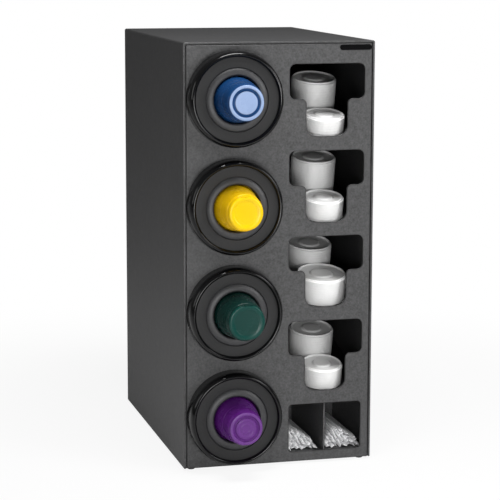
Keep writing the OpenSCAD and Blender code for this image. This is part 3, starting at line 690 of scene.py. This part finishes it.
# Flattens a cup's foot above and below: near the end, heights past the flat are pulled back to it
def flattenFoot(points, k):
    out, base = cup["proud"][k - 1] * mm, cup["base"][k - 1] * mm
    depth = out - points[:, 2]
    limit = cup["flat"] * base
    share = np.clip((cup["flatLength"] * mm - depth) / (cup["flatRun"] * mm), 0, 1)
    share = share * share * (3 - 2 * share)
    flat = np.clip(points[:, 1], -limit, limit)
    points[:, 1] += share * (flat - points[:, 1])


# A cup's profile turned half a step round, so that the flats lie between two columns
def oneCup(k, steps, corners):
    profile, pale = cupProfile(k, corners)
    local = turned(profile, steps, math.pi / steps)
    if k in cup["flatted"]:
        flattenFoot(local, k)
    return local, gridQuads(len(profile), steps), np.repeat(pale, steps)


# The front cup, and the cups nested behind it, each one pitch further back
def makeCups(k):
    finish, slot = cupFinishes[k - 1], cupSlots[k - 1]
    local, quads, pale = oneCup(k, cup["steps"], 4)
    makePiece(f"frontCup{k}", onPort(local, k), quads, finish, f"front_cup_{k}", f"cup_{k}",
              extra={"pale": pale})
    local, quads, pale = oneCup(k, cup["nestedSteps"], 2)
    number = np.arange(1, cup["nested"] + 1)
    back = np.array([0, 0, -cup["pitch"] * mm])
    points = (local[None] + number[:, None, None] * back).reshape(-1, 3)
    faces = (quads[None] + (number - 1)[:, None, None] * len(local)).reshape(-1, 4)
    makePiece(f"nestedCups{k}", onPort(points, k), faces, finish, f"feeder_{k}", f"cup_stack_{k}",
              extra={"pale": np.tile(pale, cup["nested"])})


for k in ports:
    makeCups(k)
print("cups made")

# Millimetres, and each stack's radius and number of lids from the top shelf down
shelf = dict(slope=13.0, lip=14.0)
lid = dict(height=9.0, step=5.5, taper=2.2, wall=0.8, gap=0.3, shift=7.0, lean=0.6, apart=0.6, edge=0.6,
           front=[(41.3, 6), (41.3, 7), (51.3, 9), (42.3, 7)],
           rear=[(46.0, 15), (46.0, 17), (47.0, 14), (46.0, 14)], steps=128, hiddenSteps=96)
shelfSlope = math.radians(shelf["slope"])


# Profile of one lid from the middle of its top, over its rim and down its skirt, then back inside.
# A lid under another one shows only its skirt, so its top is plain.
def lidProfile(radius, topmost):
    high, wall = lid["height"], lid["wall"]
    top = radius - lid["taper"]
    skirt = [[top + 0.6, high - 3.2], [radius - 0.6, high - 3.5], [radius - 0.12, high - 3.9],
             [radius - 0.10, 1.4], [radius, 1.0], [radius, 0]]
    inside = [[radius - wall, 0], [radius - wall - 0.4, 2.2], [top - 0.6, high - 3.4]]
    if not topmost:
        outside = [[0, high - 3.0], [top - 3.4, high - 3.0], [top - 2.0, high - 0.4], [top - 0.2, high - 0.7]]
        inside += [[top - 2.0, high - 1.4], [top - 3.0, high - 3.8], [0, high - 3.8]]
        return np.array(outside + skirt + inside) * mm
    outside = [[0, high - 0.5], [0.38 * radius, high - 0.5], [0.43 * radius, high - 1.1],
               [0.49 * radius, high - 3.0], [top - 3.4, high - 3.0], [top - 2.3, high - 0.4],
               [top - 1.2, high], [top - 0.2, high - 0.7], [top + 0.15, high - 2.4]]
    inside += [[top - 1.2, high - 1.2], [top - 2.0, high - 1.4], [top - 3.0, high - 3.8],
               [0.49 * radius - 0.4, high - 3.8], [0.41 * radius, high - 1.6], [0, high - 1.3]]
    return np.concatenate([roundCorners(outside + skirt, lid["edge"], 4), inside]) * mm


# One stack: plain lids below and a full one on top, standing square on the sloping shelf
def makeLidStack(label, k, radius, count, footY):
    low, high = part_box(f"lid_shelf_{k}")
    footZ = low.z + shelf["lip"] * mm + (footY - low.y) * math.tan(shelfSlope)
    middleX = (low.x + high.x) / 2 + lid["shift"] * mm
    plain, full = lidProfile(radius, False), lidProfile(radius, True)
    plainLid, fullLid = turned(plain, lid["hiddenSteps"]), turned(full, lid["steps"])
    lift = np.array([0, 0, 1]) * (lid["gap"] + lid["step"] * np.arange(count)[:, None, None]) * mm
    points = np.concatenate([(plainLid[None] + lift[:-1]).reshape(-1, 3), fullLid + lift[-1]])
    below = np.arange(count - 1)[:, None, None] * len(plainLid)
    quads = np.concatenate([(gridQuads(len(plain), lid["hiddenSteps"])[None] + below).reshape(-1, 4),
                            gridQuads(len(full), lid["steps"]) + (count - 1) * len(plainLid)])
    turn = np.array(Matrix.Rotation(shelfSlope, 3, "X"))
    place = points @ turn.T + np.array([middleX, footY, footZ])
    makePiece(f"{label}Lids{k}", place, quads, lidFinish, "cabinet", f"lids_{k}")


# The front stack leans with its shelf towards the panel, and the rear one stands right behind it
def makeLids(k):
    (frontRadius, frontCount), (rearRadius, rearCount) = lid["front"][k - 1], lid["rear"][k - 1]
    low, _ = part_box(f"lid_shelf_{k}")
    frontHeight = (frontCount - 1) * lid["step"] + lid["height"]
    lean = (frontHeight + lid["gap"]) * math.sin(shelfSlope)
    frontFoot = low.y + (lid["lean"] + frontRadius * math.cos(shelfSlope) + lean) * mm
    rearFoot = frontFoot + (frontRadius + rearRadius + lid["apart"]) * math.cos(shelfSlope) * mm
    makeLidStack("front", k, frontRadius, frontCount, frontFoot)
    makeLidStack("rear", k, rearRadius, rearCount, rearFoot)


for k in ports:
    makeLids(k)
print("lids made")

# Millimetres, with the turns of a sleeve in radians
straw = dict(radius=4.4, length=212.0, gap=0.3, rows=[9, 8, 7, 5, 3], stagger=5.0, binWall=2.5, crimp=14.0,
             flat=0.7, oval=0.93, bow=0.27, twist=1.1, wring=0.5, sides=14, rings=26, seed=11)


# One sleeve: an oval tube that narrows to a flat crimped end, bowed a little along its length.
# Its half width and half height follow how far a point is from the nearer end, and the oval turns along it.
def sleevePoints(rng, x, frontPoint, backPoint, z):
    along = np.linspace(0, 1, straw["rings"])
    along = 0.5 - 0.5 * np.cos(np.pi * along)
    y = frontPoint + (backPoint - frontPoint) * along
    fromEnd = np.minimum(y - frontPoint, backPoint - y) / (straw["crimp"] * mm)
    full = np.clip(fromEnd, 0, 1)
    full = full * full * (3 - 2 * full)
    r = straw["radius"] * mm
    halfWide = r * (1.02 - 0.06 * full) * (straw["oval"] + (1 - straw["oval"]) * full)
    halfHigh = straw["flat"] * mm * (1 - full) + r * straw["oval"] * full
    angle = np.linspace(0, 2 * np.pi, straw["sides"], endpoint=False)
    twist = rng.uniform(-straw["twist"], straw["twist"])
    twist = twist + rng.uniform(-straw["wring"], straw["wring"]) * along
    u = halfWide[:, None] * np.cos(angle)
    v = halfHigh[:, None] * np.sin(angle)
    bowX = rng.uniform(-1, 1) * straw["bow"] * mm * np.sin(np.pi * along)
    c, s = np.cos(twist)[:, None], np.sin(twist)[:, None]
    px = x + bowX[:, None] + c * u - s * v
    pz = z + s * u + c * v
    py = np.repeat(y[:, None], straw["sides"], 1)
    return np.stack([px, py, pz], -1).reshape(-1, 3)


# Two lanes of sleeves in close rows, each row half a step further across and lying between those below
def makeStraws():
    rng = np.random.default_rng(straw["seed"])
    low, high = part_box("straws")
    binLow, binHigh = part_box("straw_bin")
    middle = (binLow.x + binHigh.x) / 2
    step = (2 * straw["radius"] + straw["gap"]) * mm
    rise = step * math.sin(math.radians(60))
    sides, rings = straw["sides"], straw["rings"]
    half = np.arange(sides // 2 - 1)
    cap = np.stack([half, half + 1, sides - 2 - half, sides - 1 - half], -1)
    sleeve = np.concatenate([gridQuads(rings, sides), cap, cap[:, ::-1] + (rings - 1) * sides])
    lanes = (("left", binLow.x + straw["binWall"] * mm), ("right", middle + straw["binWall"] * mm / 2))
    for label, wallX in lanes:
        sleeves = []
        for j, count in enumerate(straw["rows"]):
            for i in range(count):
                x = wallX + (straw["gap"] + straw["radius"]) * mm + (i + j / 2) * step
                z = low.z + straw["radius"] * mm + j * rise
                back = high.y - straw["stagger"] * mm * ((i + 2 * j) % 3)
                sleeves.append(sleevePoints(rng, x, back - straw["length"] * mm, back, z))
        offsets = np.arange(len(sleeves))[:, None, None] * rings * sides
        quads = (sleeve[None] + offsets).reshape(-1, 4)
        makePiece(f"{label}Straws", np.concatenate(sleeves), quads, paperFinish, "cabinet",
                  "straws")


makeStraws()
print("straws made")

# Heights in millimetres behind the front panel
spring = dict(radius=2.7, wire=0.8, fromAxis=71.5, post=22.0, arm=146.1, hook=3.6, hookTurn=320, hookSteps=30,
              lead=8.6, leadSteps=6, pitch=2.0, turnSteps=12, sides=7)


# A wire along a path: each ring of points stands square to the path's tangent, on a given normal across it.
# Its two ends close to a point.
def wireAlong(path, normal):
    tangent = np.gradient(path, axis=0)
    tangent /= np.linalg.norm(tangent, axis=1)[:, None]
    across = np.cross(tangent, normal)
    angle = np.linspace(0, 2 * np.pi, spring["sides"], endpoint=False)[None, :, None]
    width = np.full(len(path), spring["wire"])
    width[[0, -1]] = 0
    ring = normal[:, None] * np.cos(angle) + across[:, None] * np.sin(angle)
    return (path[:, None] + width[:, None, None] * ring).reshape(-1, 3)


# A close coil between two hooks that loop over the tube's peg in front and the follower's behind.
# The coil is a helix: its radius times the cosine and sine of the angle, the angle running along its length.
def makeSprings(k):
    s = spring
    centreX, centreZ = portCentre(k)
    start, end = s["post"] + s["lead"], s["arm"] - s["lead"]
    turns = round((end - start) / s["pitch"])
    angle = np.linspace(0, 2 * np.pi * turns, turns * s["turnSteps"] + 1)
    radial = np.stack([np.cos(angle), np.zeros_like(angle), np.sin(angle)], -1)
    coil = s["radius"] * radial + np.linspace([0, start, 0], [0, end, 0], len(angle))
    parts = [wireAlong(coil, radial)]
    bend = np.radians(np.linspace(0, s["hookTurn"], s["hookSteps"]))
    for peg, towards in ((s["post"], 1), (s["arm"], -1)):
        loop = np.stack([0 * bend, peg + towards * s["hook"] * np.cos(bend), s["hook"] * np.sin(bend)], -1)
        lead = np.linspace([0, peg + towards * (s["lead"] + 1), s["radius"]], loop[0], s["leadSteps"])[:-1]
        path = np.concatenate([lead, loop])
        parts.append(wireAlong(path, np.tile([1.0, 0, 0], (len(path), 1))))
    both = [part + (side * s["fromAxis"], 0, 0) for side in (-1, 1) for part in parts]
    offsets = np.cumsum([0] + [len(part) for part in both[:-1]])
    quads = np.concatenate([gridQuads(len(part) // s["sides"], s["sides"]) + at
                            for part, at in zip(both, offsets)])
    points = np.concatenate(both) * mm + (centreX, frontY, centreZ)
    piece = makePiece(f"springPair{k}", points, quads, steelFinish, None, f"springs_{k}", sharp=60)
    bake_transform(piece)


# Gives a part of the frame a new finish and leaves its shape alone
def paint(node, finish):
    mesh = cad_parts[node].data
    mesh.materials.clear()
    mesh.materials.append(finish)


paint("lock_rings", satinFinish)
for k in ports:
    makeSprings(k)
    for node in (f"tube_{k}", f"end_cap_{k}", f"follower_{k}"):
        paint(node, satinFinish)
print("inside parts made")

# The camera's place in metres from the cabinet's front left lower corner, its angles in degrees, and its
# focal length in pixels of a picture of the given width
view = dict(fromCorner=(-0.7889, -3.5325, 1.0424), yaw=14.654, pitch=9.381, roll=0.142, focalPixels=1867.6,
            picture=500, sensor=36, far=60)
# Metres and watts; each lamp has its name, place, target, width, height and power
studio = dict(floorSize=16.0, floorColour=tone(0.86, 0.86, 0.86), floorRoughness=0.9, floorGlow=0.89,
              glowFrom=0.5, glowReach=1.6, skyFrom=-0.1, horizon=0.06, zenith=0.18, glossShare=0.04,
              lamps=[("key", (1.3, -1.6, 1.08), (0.0, -0.25, 0.5), 0.8, 0.7, 18),
                     ("fill", (-0.35, -2.2, 0.40), (0.05, -0.25, 0.4), 0.8, 0.5, 18),
                     ("left", (-2.6, 0.1, 1.2), (-0.2, 0.0, 0.4), 1.2, 1.2, 9),
                     ("overhead", (0.0, -0.66, 2.1), (0.0, -0.2, 0.6), 0.8, 0.5, 33)])


# The camera looks forward along its yaw and pitch; its right and up are turned by the roll
def placeCamera():
    data = bpy.data.cameras.new("photoCamera")
    data.sensor_width = view["sensor"]
    data.lens = view["focalPixels"] / view["picture"] * view["sensor"]
    data.clip_end = view["far"]
    camera = bpy.data.objects.new("photoCamera", data)
    bpy.context.scene.collection.objects.link(camera)
    yaw, pitch, roll = (math.radians(view[part]) for part in ("yaw", "pitch", "roll"))
    forward = Vector((math.sin(yaw) * math.cos(pitch), math.cos(yaw) * math.cos(pitch), -math.sin(pitch)))
    level = Vector((math.cos(yaw), -math.sin(yaw), 0))
    upright = level.cross(forward)
    right = level * math.cos(roll) + upright * math.sin(roll)
    up = upright * math.cos(roll) - level * math.sin(roll)
    turn = Matrix((right, up, -forward)).transposed()
    place = Vector((shellLow.x, frontY, shellLow.z)) + Vector(view["fromCorner"])
    camera.matrix_world = Matrix.Translation(place) @ turn.to_4x4()
    bpy.context.scene.camera = camera


# How much a ray sees of the white background: all of it from the camera or through something clear,
# and only a share in a reflection, because a black moulding would turn grey in an all-white room
def backgroundShare(shading):
    camera, clear, glossy = (shading.node("ShaderNodeLightPath", {}, {}, ray) for ray in
                             ("Is Camera Ray", "Is Transmission Ray", "Is Glossy Ray"))
    return (camera + clear + studio["glossShare"] * glossy).clamped()


# A pale floor that takes the cabinet's shadow near it and fades to pure white further out
def makeFloor():
    half = studio["floorSize"] / 2
    mesh = bpy.data.meshes.new("floor")
    corners = [(-half, -half, 0), (half, -half, 0), (half, half, 0), (-half, half, 0)]
    mesh.from_pydata(corners, [], [(0, 1, 2, 3)])
    floor = bpy.data.objects.new("floor", mesh)
    bpy.context.scene.collection.objects.link(floor)
    f = Finish("floorPaper")
    f.set(Base_Color=studio["floorColour"], Roughness=studio["floorRoughness"])
    distance = f.node("ShaderNodeVectorMath", {"operation": "LENGTH"}, {0: f.place()}, "Value")
    far = f.node("ShaderNodeMapRange", {"interpolation_type": "SMOOTHSTEP"},
                 {"Value": distance, "From Min": studio["glowFrom"], "From Max": studio["glowReach"],
                  "To Min": studio["floorGlow"], "To Max": 1.0})
    glow = f.node("ShaderNodeEmission", {}, {"Color": tone(1, 1, 1), "Strength": 1.0})
    f.show(f.node("ShaderNodeMixShader", {}, {0: backgroundShare(f) * far, 1: f.shader, 2: glow}))
    mesh.materials.append(f.material)


# A lamp of a given size that faces a target point
def softLamp(name, place, target, width, height, power):
    data = bpy.data.lights.new(name, "AREA")
    data.shape = "RECTANGLE"
    data.size = width
    data.size_y = height
    data.energy = power
    lamp = bpy.data.objects.new(name, data)
    bpy.context.scene.collection.objects.link(lamp)
    lamp.location = place
    lamp.rotation_euler = (Vector(target) - Vector(place)).to_track_quat("-Z", "Y").to_euler()


# The sky is white to the camera; to the object it is dim at the horizon and brighter overhead
def makeSky():
    world = bpy.data.worlds.new("studio")
    bpy.context.scene.world = world
    world.use_nodes = True
    sky = Shading(world.node_tree, "ShaderNodeOutputWorld")
    direction = sky.node("ShaderNodeTexCoord", {}, {}, "Generated")
    height = sky.node("ShaderNodeSeparateXYZ", {}, {0: direction}, "Z")
    strength = sky.node("ShaderNodeMapRange", {}, {"Value": height, "From Min": studio["skyFrom"],
                                                   "To Min": studio["horizon"], "To Max": studio["zenith"]})
    soft = sky.node("ShaderNodeBackground", {}, {"Strength": strength})
    white = sky.node("ShaderNodeBackground", {}, {"Color": tone(1, 1, 1)})
    sky.show(sky.node("ShaderNodeMixShader", {}, {0: backgroundShare(sky), 1: soft, 2: white}))


placeCamera()
makeFloor()
makeSky()
for lamp in studio["lamps"]:
    softLamp(*lamp)
bpy.context.scene.view_settings.view_transform = "Standard"
print("camera and light set")
